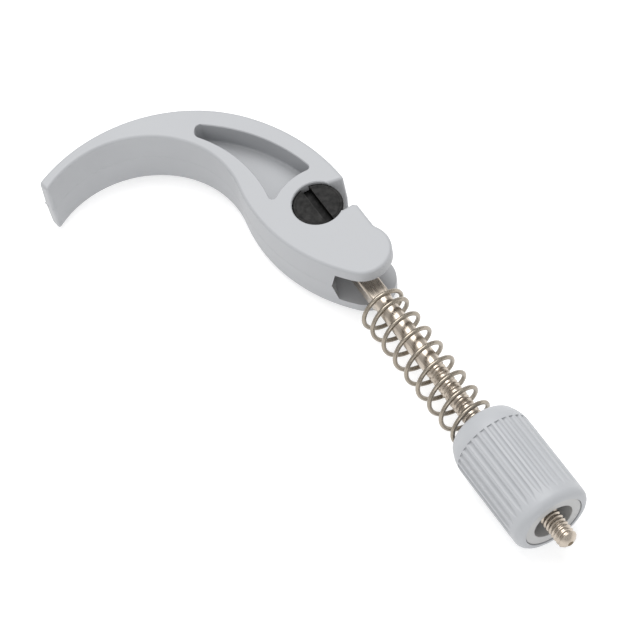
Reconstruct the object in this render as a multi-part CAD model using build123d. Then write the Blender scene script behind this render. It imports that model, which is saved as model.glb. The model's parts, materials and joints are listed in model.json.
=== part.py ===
from build123d import *
import math
import os

# Stair gate latch: an over-centre cam lever that pulls on a spring-loaded threaded rod.
# All lengths are in millimetres and all angles in degrees.
# Working frame: the pivot axis is Z, the rod runs along +X, and z = 0 is the lever's middle plane.
# The last step moves everything so that the origin is at the middle of the underside of the whole.

# ---- driving dimensions -------------------------------------------------------------------
SHANK_D = 6.35             # 1/4 inch bar
THREAD_D = 6.0             # 1/4-20 UNC, drawn plain between its crests and its roots
RUNNING_FIT = 0.05         # radial clearance of a part that turns on another
LOOSE_FIT = 0.45           # radial clearance of a part that passes freely over the rod

# lever, seen along the pivot axis: five arcs that meet tangentially, and two flats
LEVER_T = 21.5
BACK_CENTRE, BACK_R = (-11.5, -43.3), 52.5             # convex back of the handle
SHOULDER_CENTRE = (-3.05, -55.18)                      # fuller run up to the notch
HOOK_CENTRE, HOOK_R = (-26.5, -48.7), 32.3             # concave inside of the handle
BELLY_CENTRE = (-8.4, 39.6)                            # convex underside of the head
NOSE_CENTRE = (22.2, 2.1)                              # cam nose
TIP_BACK_DEG, TIP_HOOK_DEG = 207.4, 213.6              # where the two handle arcs end
NOTCH_WALL_TOP = (-2.8, 11.3)
NOTCH_WALL_FOOT = (-4.6, 5.0)
NOTCH_FAR_X = 6.2
NOTCH_CHAMFER = 1.2                                    # where the notch meets the bearing flat
FLAT_Y = 10.0                                          # bearing flat between the notch and the nose
NOSE_BLEND_R = 3.0
RIM_R = 1.2                                            # rounded rim of both side faces
POCKET_DEPTH = 8.0
POCKET_OUT_CENTRE, POCKET_OUT_R = (-2.8, -52.7), 58.9
POCKET_IN_CENTRE, POCKET_IN_R = (-19.1, -56.4), 46.1
POCKET_OUT_HEEL_DEG, POCKET_IN_HEEL_DEG = 141.1, 124.4
POCKET_END_CENTRE, POCKET_END_R = (6.0, 1.5), 18.8     # end of the pocket beside the pivot boss
POCKET_CORNER_R = 1.6
SLOT_H = 13.0                                          # gap between the two cheeks
SLOT_SIDE_Y = -4.4                                     # slot wall beside the closed rod
SLOT_FLARE_START_X = 13.0
SLOT_MOUTH = (23.4, -8.6)
SLOT_GROOVE = 1.6                                      # depth of the V along the slot's side
CUT_REACH = 40.0                                       # how far the slot's cuts run out past the lever

# cross dowel, the pivot
DOWEL_D = 15.88
DOWEL_RECESS = 0.9
DOWEL_CHAMFER = 0.5
DRIVE_SLOT_W, DRIVE_SLOT_DEPTH = 2.7, 2.4

# rod
NECK_W = 6.1                                           # square section beside the dowel
NECK_EDGE_R = 0.7
NECK_START_X, NECK_END_X = 8.2, 36.0
THREAD_START_X = 64.5                                  # the plain shank ends here
CONE_START_X, ROD_END_X = 133.4, 135.0
CONE_START_R, ROD_END_R = 2.85, 1.0

# compression spring, right-handed, one closed coil at the lever end and a cut open end
WIRE_D = 1.4
SPRING_MEAN_R = 7.1
SPRING_PITCH = 6.35
CLOSED_PITCH = 2.8
CLOSED_TURNS = 1.0
SPRING_TURNS = 8.75
SPRING_START_X = 36.2
SPRING_START_DEG = -43.0

# adjusting nut
NUT_START_X, NUT_END_X = 88.9, 126.8
NUT_R = 12.3
NUT_FACE_R = 8.7                                       # flat that the spring bears on
NUT_EDGE_R, NUT_EDGE_X = 10.4, 90.1                    # outer edge of that end
NUT_SHOULDER_X = 94.4                                  # where the grip reaches its full radius
NUT_RIM_R = 2.4
FLUTES = 30
FLUTE_R = 0.85
FLUTE_DEPTH = 0.55
FLUTE_START_X, FLUTE_END_X = 96.0, 122.4
FLUTE_PHASE_DEG = 10.3
CORE_R = 9.5
CORE_START_X = 95.5
CORE_SET_BACK = 0.3
COUNTERBORE_R, COUNTERBORE_DEPTH = 6.4, 6.0
INSERT_R = 4.9
INSERT_START_X, INSERT_END_X = 102.0, 115.0

# the other three arcs touch their neighbours, which settles their radii
SHOULDER_R = math.dist(SHOULDER_CENTRE, BACK_CENTRE) + BACK_R
BELLY_R = math.dist(BELLY_CENTRE, HOOK_CENTRE) - HOOK_R
NOSE_R = BELLY_R - math.dist(BELLY_CENTRE, NOSE_CENTRE)
HALF_T = LEVER_T / 2
DOWEL_R = DOWEL_D / 2
SHANK_R = SHANK_D / 2
THREAD_R = THREAD_D / 2
ALONG_X = Plane.YZ
SAME = 1e-6                                            # two lengths this close are equal


def polar(centre, radius, degrees):
    """Point at an angle on a circle."""
    turn = math.radians(degrees)
    return Vector(centre[0] + radius * math.cos(turn), centre[1] + radius * math.sin(turn))


def bearing(centre, point):
    """Angle of a point seen from a centre."""
    return math.degrees(math.atan2(point.Y - centre[1], point.X - centre[0]))


def arc(centre, radius, start_deg, end_deg):
    """Arc about a centre, from one angle to another the short way."""
    middle = polar(centre, radius, (start_deg + end_deg) / 2)
    return ThreePointArc(polar(centre, radius, start_deg), middle, polar(centre, radius, end_deg))


def towards(origin, target, length):
    """Point at a given distance from a centre, in the direction of another centre."""
    start = Vector(*origin)
    return start + (Vector(*target) - start).normalized() * length


def x_cylinder(radius, start_x, end_x):
    """Cylinder about the rod axis between two stations."""
    return Pos(start_x, 0, 0) * extrude(ALONG_X * Circle(radius), end_x - start_x)


def turned(points):
    """Solid of revolution about the rod axis from (x, radius) points."""
    outline = Polyline(*points, close=True)
    return revolve(make_face(outline), Axis.X)


def lever_outline():
    """Closed outline of the lever, with the notch open to the pivot bore."""
    back_end = towards(SHOULDER_CENTRE, BACK_CENTRE, SHOULDER_R)
    hook_end = towards(HOOK_CENTRE, BELLY_CENTRE, HOOK_R)
    nose_end = towards(BELLY_CENTRE, NOSE_CENTRE, BELLY_R)
    wall_top = Vector(*NOTCH_WALL_TOP)
    # the flat meets the nose in a small concave blend
    blend_y = FLAT_Y + NOSE_BLEND_R
    reach = math.sqrt((NOSE_R + NOSE_BLEND_R) ** 2 - (blend_y - NOSE_CENTRE[1]) ** 2)
    blend_centre = (NOSE_CENTRE[0] - reach, blend_y)
    blend_end_deg = bearing(blend_centre, Vector(*NOSE_CENTRE))
    shoulder_end_deg = bearing(SHOULDER_CENTRE, wall_top)
    shoulder_end = polar(SHOULDER_CENTRE, SHOULDER_R, shoulder_end_deg)
    notch_floor_y = NOTCH_WALL_FOOT[1]
    edges = [
        arc(BACK_CENTRE, BACK_R, TIP_BACK_DEG, bearing(BACK_CENTRE, back_end)),
        arc(SHOULDER_CENTRE, SHOULDER_R, bearing(SHOULDER_CENTRE, back_end), shoulder_end_deg),
        Polyline(
            shoulder_end,
            Vector(*NOTCH_WALL_FOOT),
            Vector(NOTCH_FAR_X, notch_floor_y),
            Vector(NOTCH_FAR_X, FLAT_Y - NOTCH_CHAMFER),
            Vector(NOTCH_FAR_X + NOTCH_CHAMFER, FLAT_Y),
            Vector(blend_centre[0], FLAT_Y),
        ),
        arc(blend_centre, NOSE_BLEND_R, -90, blend_end_deg),
        arc(NOSE_CENTRE, NOSE_R, blend_end_deg + 180, bearing(NOSE_CENTRE, nose_end)),
        arc(BELLY_CENTRE, BELLY_R, bearing(BELLY_CENTRE, nose_end), bearing(BELLY_CENTRE, hook_end)),
        arc(HOOK_CENTRE, HOOK_R, bearing(HOOK_CENTRE, hook_end), TIP_HOOK_DEG),
        Line(polar(HOOK_CENTRE, HOOK_R, TIP_HOOK_DEG), polar(BACK_CENTRE, BACK_R, TIP_BACK_DEG)),
    ]
    return make_face(Curve() + edges)


def crossing(centre_a, radius_a, centre_b, radius_b):
    """Where two circles cross, to the right of the line from a to b."""
    start = Vector(*centre_a)
    line = Vector(*centre_b) - start
    along = (line.length**2 + radius_a**2 - radius_b**2) / (2 * line.length)
    across = math.sqrt(radius_a**2 - along**2)
    unit = line.normalized()
    return start + unit * along + Vector(unit.Y, -unit.X) * across


def pocket_outline():
    """Curved wedge between two arcs, from a short heel to an arc beside the pivot boss."""
    upper = crossing(POCKET_END_CENTRE, POCKET_END_R, POCKET_OUT_CENTRE, POCKET_OUT_R)
    lower = crossing(POCKET_END_CENTRE, POCKET_END_R, POCKET_IN_CENTRE, POCKET_IN_R)
    outer_end_deg = bearing(POCKET_OUT_CENTRE, upper)
    inner_end_deg = bearing(POCKET_IN_CENTRE, lower)
    end_degs = [bearing(POCKET_END_CENTRE, point) % 360 for point in (upper, lower)]
    outer_heel = polar(POCKET_OUT_CENTRE, POCKET_OUT_R, POCKET_OUT_HEEL_DEG)
    inner_heel = polar(POCKET_IN_CENTRE, POCKET_IN_R, POCKET_IN_HEEL_DEG)
    edges = [
        arc(POCKET_OUT_CENTRE, POCKET_OUT_R, POCKET_OUT_HEEL_DEG, outer_end_deg),
        arc(POCKET_END_CENTRE, POCKET_END_R, *end_degs),
        arc(POCKET_IN_CENTRE, POCKET_IN_R, inner_end_deg, POCKET_IN_HEEL_DEG),
        Line(inner_heel, outer_heel),
    ]
    outline = make_face(Curve() + edges)
    return fillet(outline.vertices(), POCKET_CORNER_R)


def cheek_slot():
    """Space between the cheeks that the rod sweeps through, with a V along its closed side."""
    foot = Vector(*NOTCH_WALL_FOOT)
    top = Vector(*NOTCH_WALL_TOP)
    lean = (top - foot).normalized()
    mouth = Vector(*SLOT_MOUTH)
    plan = make_face(
        Polyline(
            Vector(foot.X, SLOT_SIDE_Y),
            foot,
            foot + lean * CUT_REACH,
            Vector(CUT_REACH, CUT_REACH),
            Vector(CUT_REACH, mouth.Y),
            mouth,
            Vector(SLOT_FLARE_START_X, SLOT_SIDE_Y),
            close=True,
        )
    )
    slot = extrude(plan, SLOT_H / 2, both=True)
    groove = Plane.YZ * make_face(
        Polyline(
            (SLOT_SIDE_Y, SLOT_H / 2),
            (SLOT_SIDE_Y - SLOT_GROOVE, 0),
            (SLOT_SIDE_Y, -SLOT_H / 2),
            close=True,
        )
    )
    flare = (mouth - Vector(SLOT_FLARE_START_X, SLOT_SIDE_Y)).normalized()
    straight = extrude(groove, SLOT_FLARE_START_X)
    flared = extrude(Pos(SLOT_FLARE_START_X, 0, 0) * groove, CUT_REACH, dir=flare)
    return slot + straight + flared


def make_lever():
    """Moulded handle with a cam nose, forked round the rod, with a weight-saving pocket each side."""
    body = extrude(lever_outline(), HALF_T, both=True)
    rims = body.edges().filter_by(lambda e: abs(abs(e.center().Z) - HALF_T) < SAME)
    body = fillet(rims, RIM_R)
    pocket = pocket_outline()
    body -= Pos(0, 0, HALF_T - POCKET_DEPTH) * extrude(pocket, POCKET_DEPTH)
    body -= Pos(0, 0, -HALF_T) * extrude(pocket, POCKET_DEPTH)
    body -= Cylinder(DOWEL_R + RUNNING_FIT, LEVER_T)
    return body - cheek_slot()


def make_dowel():
    """Steel cross dowel with a threaded cross hole and a screwdriver slot in one end."""
    length = LEVER_T - 2 * DOWEL_RECESS
    body = chamfer(Cylinder(DOWEL_R, length).edges().filter_by(GeomType.CIRCLE), DOWEL_CHAMFER)
    drive_z = length / 2 - DRIVE_SLOT_DEPTH / 2
    body -= Pos(0, 0, drive_z) * Box(DOWEL_D, DRIVE_SLOT_W, DRIVE_SLOT_DEPTH)
    return body - x_cylinder(THREAD_R, -DOWEL_D, DOWEL_D)


def make_rod():
    """Rod screwed into the dowel: threaded stud, square neck, plain shank and threaded end."""
    neck = extrude(ALONG_X * RectangleRounded(NECK_W, NECK_W, NECK_EDGE_R), NECK_END_X - NECK_START_X)
    stud_x = DOWEL_RECESS - DOWEL_R
    round_bar = turned(
        [
            (stud_x, 0),
            (stud_x, THREAD_R),
            (NECK_START_X, THREAD_R),
            (NECK_START_X, SHANK_R),
            (THREAD_START_X, SHANK_R),
            (THREAD_START_X, THREAD_R),
            (CONE_START_X, THREAD_R),
            (CONE_START_X, CONE_START_R),
            (ROD_END_X, ROD_END_R),
            (ROD_END_X, 0),
        ]
    )
    return round_bar + Pos(NECK_START_X, 0, 0) * neck


def coil(pitch, turns, start_x, start_deg):
    """Round wire wound right-handed about the rod axis."""
    path = Helix(pitch, pitch * turns, SPRING_MEAN_R)
    section = Plane(path @ 0, z_dir=path % 0) * Circle(WIRE_D / 2)
    wound = sweep(section, path=path)
    # the helix is built about Z from +X; stand it along the rod with its start turned to start_deg
    return Pos(start_x, 0, 0) * Rot(start_deg, 0, 0) * Plane.YZ.location * wound


def make_spring():
    """Open-coil spring whose first coil is nearly closed."""
    closed_run = CLOSED_PITCH * CLOSED_TURNS
    open_turns = SPRING_TURNS - CLOSED_TURNS
    first = coil(CLOSED_PITCH, CLOSED_TURNS, SPRING_START_X, SPRING_START_DEG)
    open_start_x = SPRING_START_X + closed_run
    rest = coil(SPRING_PITCH, open_turns, open_start_x, SPRING_START_DEG + 360 * CLOSED_TURNS)
    turn = math.radians(SPRING_START_DEG)
    joint_at = Vector(open_start_x, SPRING_MEAN_R * math.cos(turn), SPRING_MEAN_R * math.sin(turn))
    return first + rest + Pos(joint_at) * Sphere(WIRE_D / 2)


def make_nut_sleeve():
    """Plastic grip of the adjusting nut: chamfered shoulder, flutes and a rounded rim."""
    blank = turned(
        [
            (NUT_START_X, 0),
            (NUT_START_X, NUT_FACE_R),
            (NUT_EDGE_X, NUT_EDGE_R),
            (NUT_SHOULDER_X, NUT_R),
            (NUT_END_X, NUT_R),
            (NUT_END_X, 0),
        ]
    )
    rim = blank.edges().filter_by(GeomType.CIRCLE).sort_by(Axis.X)[-1]
    blank = fillet(rim, NUT_RIM_R)
    flute = x_cylinder(FLUTE_R, FLUTE_START_X, FLUTE_END_X)
    flute_at = NUT_R - FLUTE_DEPTH + FLUTE_R
    for index in range(FLUTES):
        turn = FLUTE_PHASE_DEG + index * 360 / FLUTES
        blank -= Rot(turn, 0, 0) * Pos(0, flute_at, 0) * flute
    blank -= x_cylinder(CORE_R, CORE_START_X, NUT_END_X)
    return blank - x_cylinder(THREAD_R + LOOSE_FIT, NUT_START_X, CORE_START_X)


def make_nut_core():
    """Plastic core pressed into the sleeve, with the insert's seat and a counterbore."""
    end_x = NUT_END_X - CORE_SET_BACK
    body = x_cylinder(CORE_R, CORE_START_X, end_x)
    body -= x_cylinder(THREAD_R + LOOSE_FIT, CORE_START_X, end_x)
    body -= x_cylinder(COUNTERBORE_R, end_x - COUNTERBORE_DEPTH, end_x)
    return body - x_cylinder(INSERT_R, INSERT_START_X, INSERT_END_X)


def make_nut_insert():
    """Metal threaded insert moulded into the core."""
    body = x_cylinder(INSERT_R, INSERT_START_X, INSERT_END_X)
    return body - x_cylinder(THREAD_R + RUNNING_FIT, INSERT_START_X, INSERT_END_X)


def main():
    """Build every piece, set the origin under the middle of the whole and write the STEP files."""
    pieces = {
        "lever": make_lever(),
        "cross_dowel": make_dowel(),
        "threaded_rod": make_rod(),
        "compression_spring": make_spring(),
        "nut_grip_sleeve": make_nut_sleeve(),
        "nut_core_bush": make_nut_core(),
        "nut_thread_insert": make_nut_insert(),
    }
    box = pieces["lever"].bounding_box()
    for piece in pieces.values():
        box = box.add(piece.bounding_box())
    middle = box.center()
    shift = Vector(-middle.X, -middle.Y, -box.min.Z)
    os.makedirs("parts", exist_ok=True)
    for name, piece in pieces.items():
        placed = Pos(shift) * piece
        export_step(placed, f"parts/{name}.step")
    print(f"pivot at x {shift.X:.4f} y {shift.Y:.4f} z {shift.Z:.4f}")
    print(f"overall {box.size.X:.3f} x {box.size.Y:.3f} x {box.size.Z:.3f}")


main()
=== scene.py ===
import json
import logging
import math
from collections.abc import Iterable
from dataclasses import dataclass
from enum import Enum
from itertools import pairwise

import bmesh
import bpy
from mathutils import Matrix, Vector


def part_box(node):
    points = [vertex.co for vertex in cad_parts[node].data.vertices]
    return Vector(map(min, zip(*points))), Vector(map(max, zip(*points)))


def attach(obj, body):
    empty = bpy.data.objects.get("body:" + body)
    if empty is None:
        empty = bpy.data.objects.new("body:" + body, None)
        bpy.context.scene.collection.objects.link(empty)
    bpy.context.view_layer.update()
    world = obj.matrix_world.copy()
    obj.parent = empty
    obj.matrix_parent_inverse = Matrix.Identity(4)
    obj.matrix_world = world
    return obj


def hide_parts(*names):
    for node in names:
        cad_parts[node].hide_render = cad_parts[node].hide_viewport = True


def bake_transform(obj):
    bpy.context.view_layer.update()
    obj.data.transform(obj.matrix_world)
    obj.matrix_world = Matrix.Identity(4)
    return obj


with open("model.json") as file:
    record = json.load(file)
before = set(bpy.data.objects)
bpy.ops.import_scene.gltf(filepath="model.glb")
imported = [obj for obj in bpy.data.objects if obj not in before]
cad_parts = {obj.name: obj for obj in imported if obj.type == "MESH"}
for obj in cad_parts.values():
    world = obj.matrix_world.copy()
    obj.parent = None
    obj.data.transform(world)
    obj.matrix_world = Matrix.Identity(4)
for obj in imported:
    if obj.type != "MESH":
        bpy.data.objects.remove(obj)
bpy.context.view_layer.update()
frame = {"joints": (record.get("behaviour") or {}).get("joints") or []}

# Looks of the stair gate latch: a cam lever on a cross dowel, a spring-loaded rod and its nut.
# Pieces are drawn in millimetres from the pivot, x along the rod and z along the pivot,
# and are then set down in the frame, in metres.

LOG = logging.getLogger("gate_latch")
MM = 0.001
POINT = tuple[float, float]
CIRCLE = tuple[POINT, float]  # centre and radius
COLOUR = tuple[float, float, float]
SOURCE = bpy.types.NodeSocket | bpy.types.ID | float | tuple[float, ...]  # a link or a value
JOINTS = {joint["name"]: joint for joint in frame["joints"]}
PIVOT = Vector(JOINTS["lever_swing"]["pos_m"])
ARC_SAG = 0.012  # how far a drawn arc may leave the true one, mm
MERGE = 1e-4  # points this close are one, mm
ROUNDING = 5  # segments of a rounded corner in a turned profile
SHARP_DEG = 32.0  # edges that turn more than this stay crisp
BEVEL_DEG = 35.0  # edges that turn more than this get the small bevel
Z_TO_X = Matrix.Rotation(math.pi / 2, 4, "Y")


class Body(Enum):
    """The bodies that pieces ride on."""

    ROD = "rod"
    LEVER = "lever"
    SPRING = "spring"
    NUT = "adjusting_nut"


def span(node: str) -> tuple[Vector, Vector]:
    """Lowest and highest corner of a CAD node.

    Args:
        node: the node's name.

    Returns:
        Both corners, in millimetres from the pivot.
    """
    low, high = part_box(node)
    return (low - PIVOT) / MM, (high - PIVOT) / MM


# ---- drawing


class Pen:
    """Draws a closed outline in the xy plane, one stroke after another."""

    def __init__(self, bm: bmesh.types.BMesh, x: float, y: float, z: float = 0.0) -> None:
        """Puts the pen down at a point.

        Args:
            bm: the mesh to add to.
            x: the point's x.
            y: the point's y.
            z: the plane's height.
        """
        self.bm = bm
        self.z = z
        self.first = bm.verts.new((x, y, z))
        self.tip = self.first

    def line(self, x: float, y: float) -> "Pen":
        """Draws a straight stroke to a point.

        Args:
            x: the point's x.
            y: the point's y.

        Returns:
            The pen.
        """
        made = bmesh.ops.extrude_vert_indiv(self.bm, verts=[self.tip])
        self.tip = made["verts"][0]
        self.tip.co = (x, y, self.z)
        return self

    def arc(self, centre: POINT, degrees: float) -> "Pen":
        """Draws an arc about a centre.

        Args:
            centre: the arc's centre.
            degrees: how far it turns, positive anticlockwise.

        Returns:
            The pen, for the next stroke.
        """
        middle = Vector((*centre, self.z))
        radius = (self.tip.co - middle).length
        turn = math.radians(degrees)
        steps = max(3, math.ceil(abs(turn) / (2 * math.acos(1 - ARC_SAG / radius))))
        made = bmesh.ops.spin(
            self.bm, geom=[self.tip], cent=middle, axis=(0, 0, 1), dvec=(0, 0, 0),
            angle=turn, steps=steps, use_merge=False, use_duplicate=False,
        )
        self.tip = next(g for g in made["geom_last"] if isinstance(g, bmesh.types.BMVert))
        return self

    def close(self) -> bmesh.types.BMFace:
        """Closes the outline and fills it.

        Returns:
            The face, which looks along +z.
        """
        self.bm.edges.new((self.tip, self.first))
        edges, edge, vert = [], self.first.link_edges[0], self.first
        while edge not in edges:
            edges.append(edge)
            vert = edge.other_vert(vert)
            edge = next(e for e in vert.link_edges if e is not edge)
        face = bmesh.ops.contextual_create(self.bm, geom=edges)["faces"][0]
        face.normal_update()
        if face.normal.z < 0:
            face.normal_flip()
        return face


def polar(centre: POINT, radius: float, degrees: float) -> Vector:
    """Point at an angle on a circle."""
    turn = math.radians(degrees)
    return Vector((centre[0] + radius * math.cos(turn), centre[1] + radius * math.sin(turn)))


def bearing(centre: POINT, point: Vector) -> float:
    """Angle of a point seen from a centre, in degrees."""
    return math.degrees(math.atan2(point[1] - centre[1], point[0] - centre[0]))


def towards(origin: POINT, target: POINT, length: float) -> Vector:
    """Point at a distance from one centre in the direction of another."""
    start = Vector(origin)
    return start + (Vector(target) - start).normalized() * length


def short_way(start_deg: float, end_deg: float) -> float:
    """Turn from one angle to another, between -180 and 180 degrees."""
    return (end_deg - start_deg + 180) % 360 - 180


def crossing(centre_a: POINT, radius_a: float, centre_b: POINT, radius_b: float) -> Vector:
    """Finds where two circles cross.

    Args:
        centre_a: centre of the first circle.
        radius_a: its radius.
        centre_b: centre of the second circle.
        radius_b: its radius.

    Returns:
        The crossing to the right of the line from a to b.
    """
    start = Vector(centre_a)
    line = Vector(centre_b) - start
    along = (line.length**2 + radius_a**2 - radius_b**2) / (2 * line.length)
    across = math.sqrt(radius_a**2 - along**2)
    unit = line.normalized()
    return start + unit * along + Vector((unit.y, -unit.x)) * across


def upright_corners(bm: bmesh.types.BMesh, least_deg: float) -> list[bmesh.types.BMEdge]:
    """Edges along z where the sides turn by more than an angle."""
    return [
        edge for edge in bm.edges
        if abs(edge.verts[0].co.z - edge.verts[1].co.z) > 0.01
        and edge.is_manifold and edge.calc_face_angle() > math.radians(least_deg)
    ]


def step_in(
    bm: bmesh.types.BMesh, face: bmesh.types.BMFace, inset: float, rise: float
) -> None:
    """Grows a band round a face: its edge moves in by inset and the face moves along z by rise."""
    bmesh.ops.inset_region(
        bm, faces=[face], thickness=inset, depth=0, use_even_offset=True, use_boundary=True
    )
    bmesh.ops.translate(bm, verts=face.verts[:], vec=(0, 0, rise))


def bevel_edges(
    bm: bmesh.types.BMesh, edges: Iterable[bmesh.types.BMEdge], width: float, segments: int
) -> None:
    """Rounds edges with a bevel of a given width."""
    bmesh.ops.bevel(
        bm, geom=list(edges), offset=width, offset_type="OFFSET", segments=segments,
        profile=0.5, affect="EDGES", material=-1,
    )


def clean(bm: bmesh.types.BMesh) -> None:
    """Merges doubles and turns every face outwards."""
    bmesh.ops.remove_doubles(bm, verts=bm.verts[:], dist=MERGE)
    bmesh.ops.recalc_face_normals(bm, faces=bm.faces[:])


@dataclass(frozen=True)
class Corner:
    """A corner of a turned profile: station along the axis, radius and the length of its rounding."""

    x: float
    r: float
    cut: float = 0.0


def lathe(profile: Iterable[Corner], steps: int = 96) -> bmesh.types.BMesh:
    """Turns a closed profile about the x axis.

    Args:
        profile: the profile's corners, in order.
        steps: how many flats make the full turn.

    Returns:
        The turned mesh.
    """
    bm = bmesh.new()
    corners = list(profile)
    pen = Pen(bm, corners[0].x, corners[0].r)
    for corner in corners[1:]:
        pen.line(corner.x, corner.r)
    pen.close()
    for corner in corners:
        if corner.cut:
            at = min(bm.verts, key=lambda v: (v.co - Vector((corner.x, corner.r, 0))).length)
            bmesh.ops.bevel(
                bm, geom=[at], offset=corner.cut, segments=ROUNDING, profile=0.5,
                affect="VERTICES", material=-1,
            )
    bmesh.ops.delete(bm, geom=bm.faces[:], context="FACES_ONLY")
    on_axis = [e for e in bm.edges if all(v.co.y < MERGE for v in e.verts)]
    bmesh.ops.delete(bm, geom=on_axis, context="EDGES")
    bmesh.ops.spin(
        bm, geom=bm.verts[:] + bm.edges[:], cent=(0, 0, 0), axis=(1, 0, 0),
        dvec=(0, 0, 0), angle=2 * math.pi, steps=steps, use_merge=True, use_duplicate=False,
    )
    clean(bm)
    return bm


def solid(name: str, bm: bmesh.types.BMesh) -> bpy.types.Object:
    """Makes an object of a finished mesh, still in millimetres, and frees the mesh.

    Args:
        name: the object's name.
        bm: the mesh.

    Returns:
        The new object.
    """
    mesh = bpy.data.meshes.new(name)
    bm.to_mesh(mesh)
    bm.free()
    made = bpy.data.objects.new(name, mesh)
    bpy.context.scene.collection.objects.link(made)
    return made


class Join(Enum):
    """How one solid changes another."""

    CUT = "DIFFERENCE"
    ADD = "UNION"


def combine(body: bpy.types.Object, tool: bpy.types.Object, how: Join) -> None:
    """Cuts a tool out of a body, or adds it, and removes the tool.

    Args:
        body: the piece to change.
        tool: the other solid, which goes.
        how: whether it cuts or adds.
    """
    change = body.modifiers.new("combine", "BOOLEAN")
    change.operation = how.value
    change.solver = "MANIFOLD"
    change.object = tool
    freeze(body)
    bpy.data.objects.remove(tool)


def freeze(body: bpy.types.Object) -> None:
    """Applies a body's modifiers to its mesh.

    Args:
        body: the piece to change.
    """
    graph = bpy.context.evaluated_depsgraph_get()
    mesh = bpy.data.meshes.new_from_object(body.evaluated_get(graph), depsgraph=graph)
    body.modifiers.clear()
    body.data = mesh


def soften(body: bpy.types.Object, width: float, segments: int = 2) -> None:
    """Breaks the sharp edges of a body with a small bevel.

    Args:
        body: the piece to change.
        width: the bevel's width.
        segments: how many flats the bevel has.
    """
    edge = body.modifiers.new("soften", "BEVEL")
    edge.limit_method = "ANGLE"
    edge.angle_limit = math.radians(BEVEL_DEG)
    edge.width = width
    edge.segments = segments
    edge.use_clamp_overlap = True
    edge.miter_outer = "MITER_ARC"
    freeze(body)


def paint(body: bpy.types.Object, material: bpy.types.Material) -> None:
    """Gives a whole body one finish.

    Args:
        body: the piece to change.
        material: the finish.
    """
    body.data.materials.clear()
    body.data.materials.append(material)
    body.data.polygons.foreach_set("material_index", [0] * len(body.data.polygons))


def set_down(
    body: bpy.types.Object, node: str, where: Body, sharp_deg: float = SHARP_DEG
) -> None:
    """Shades a piece, sets it down in the frame and puts it in place of its CAD node.

    Args:
        body: the piece, in millimetres from the pivot.
        node: the CAD node that it replaces.
        where: the body that it rides on.
        sharp_deg: edges that turn more than this stay crisp.
    """
    body.data.transform(Matrix.Translation(PIVOT) @ Matrix.Scale(MM, 4))
    body.data.shade_smooth()
    body.data.set_sharp_from_angle(angle=math.radians(sharp_deg))
    weigh = body.modifiers.new("weigh", "WEIGHTED_NORMAL")
    weigh.keep_sharp = True
    weigh.weight = 100
    freeze(body)
    body.data.name = body.name
    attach(body, where.value)
    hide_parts(node)
    LOG.info("%s: %d faces on %s", body.name, len(body.data.polygons), where.value)


# ---- finishes


class Wiring:
    """Adds and links the nodes of one tree."""

    def __init__(self, tree: bpy.types.NodeTree) -> None:
        """Starts on a tree."""
        self.tree = tree

    def feed(self, node: bpy.types.Node, inputs: dict[str | int, SOURCE]) -> None:
        """Sets inputs of a node, by name or number, to a value or to an output."""
        for key, value in inputs.items():
            if isinstance(value, bpy.types.NodeSocket):
                self.tree.links.new(value, node.inputs[key])
            else:
                node.inputs[key].default_value = value

    def add(
        self, kind: str, inputs: dict[str | int, SOURCE] | None = None, **settings: object
    ) -> bpy.types.Node:
        """Adds a node.

        Args:
            kind: the node's type.
            inputs: socket name or number to a value, or to an output to link from.
            settings: the node's own settings.

        Returns:
            The node.
        """
        node = self.tree.nodes.new(kind)
        for name, value in settings.items():
            setattr(node, name, value)
        self.feed(node, inputs or {})
        return node

    def maths(self, operation: str, first: SOURCE, second: SOURCE) -> bpy.types.NodeSocket:
        """Adds a Math node and gives its output."""
        return self.add("ShaderNodeMath", {0: first, 1: second}, operation=operation).outputs[0]

    def vector(self, operation: str, first: SOURCE, second: SOURCE) -> bpy.types.Node:
        """Adds a Vector Math node."""
        return self.add("ShaderNodeVectorMath", {0: first, 1: second}, operation=operation)

    def ramp(self, value: SOURCE, low: float, high: float) -> bpy.types.NodeSocket:
        """Adds a Map Range node from low..high to 0..1 and gives its output."""
        inputs = {"Value": value, "From Min": low, "From Max": high}
        return self.add("ShaderNodeMapRange", inputs).outputs["Result"]

    def between(self, mask: SOURCE, low: float, high: float) -> bpy.types.NodeSocket:
        """Adds a Map Range node from 0..1 to low..high and gives its output."""
        inputs = {"Value": mask, "To Min": low, "To Max": high}
        return self.add("ShaderNodeMapRange", inputs).outputs["Result"]

    def noise(
        self, vector: SOURCE, scale: SOURCE, detail: float, roughness: float = 0.5
    ) -> bpy.types.NodeSocket:
        """Adds a noise texture and gives its value."""
        inputs = {"Vector": vector, "Scale": scale, "Detail": detail, "Roughness": roughness}
        return self.add("ShaderNodeTexNoise", inputs).outputs["Fac"]

    def mix(
        self, mask: SOURCE, first: SOURCE | COLOUR, second: SOURCE | COLOUR
    ) -> bpy.types.NodeSocket:
        """Mixes two colours by a mask and gives the result.

        Args:
            mask: 0 gives the first colour and 1 the second.
            first: the first colour.
            second: the second colour.

        Returns:
            The mixed colour.
        """
        ends = [c if isinstance(c, bpy.types.NodeSocket) else (*c, 1.0) for c in (first, second)]
        inputs = {"Factor": mask, 6: ends[0], 7: ends[1]}
        return self.add("ShaderNodeMix", inputs, data_type="RGBA").outputs[2]

    def effect(self, group: bpy.types.NodeTree, **inputs: SOURCE) -> bpy.types.NodeSocket:
        """Adds one of the shared effects and gives its output."""
        return self.add("ShaderNodeGroup", inputs, node_tree=group).outputs[0]


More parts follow.
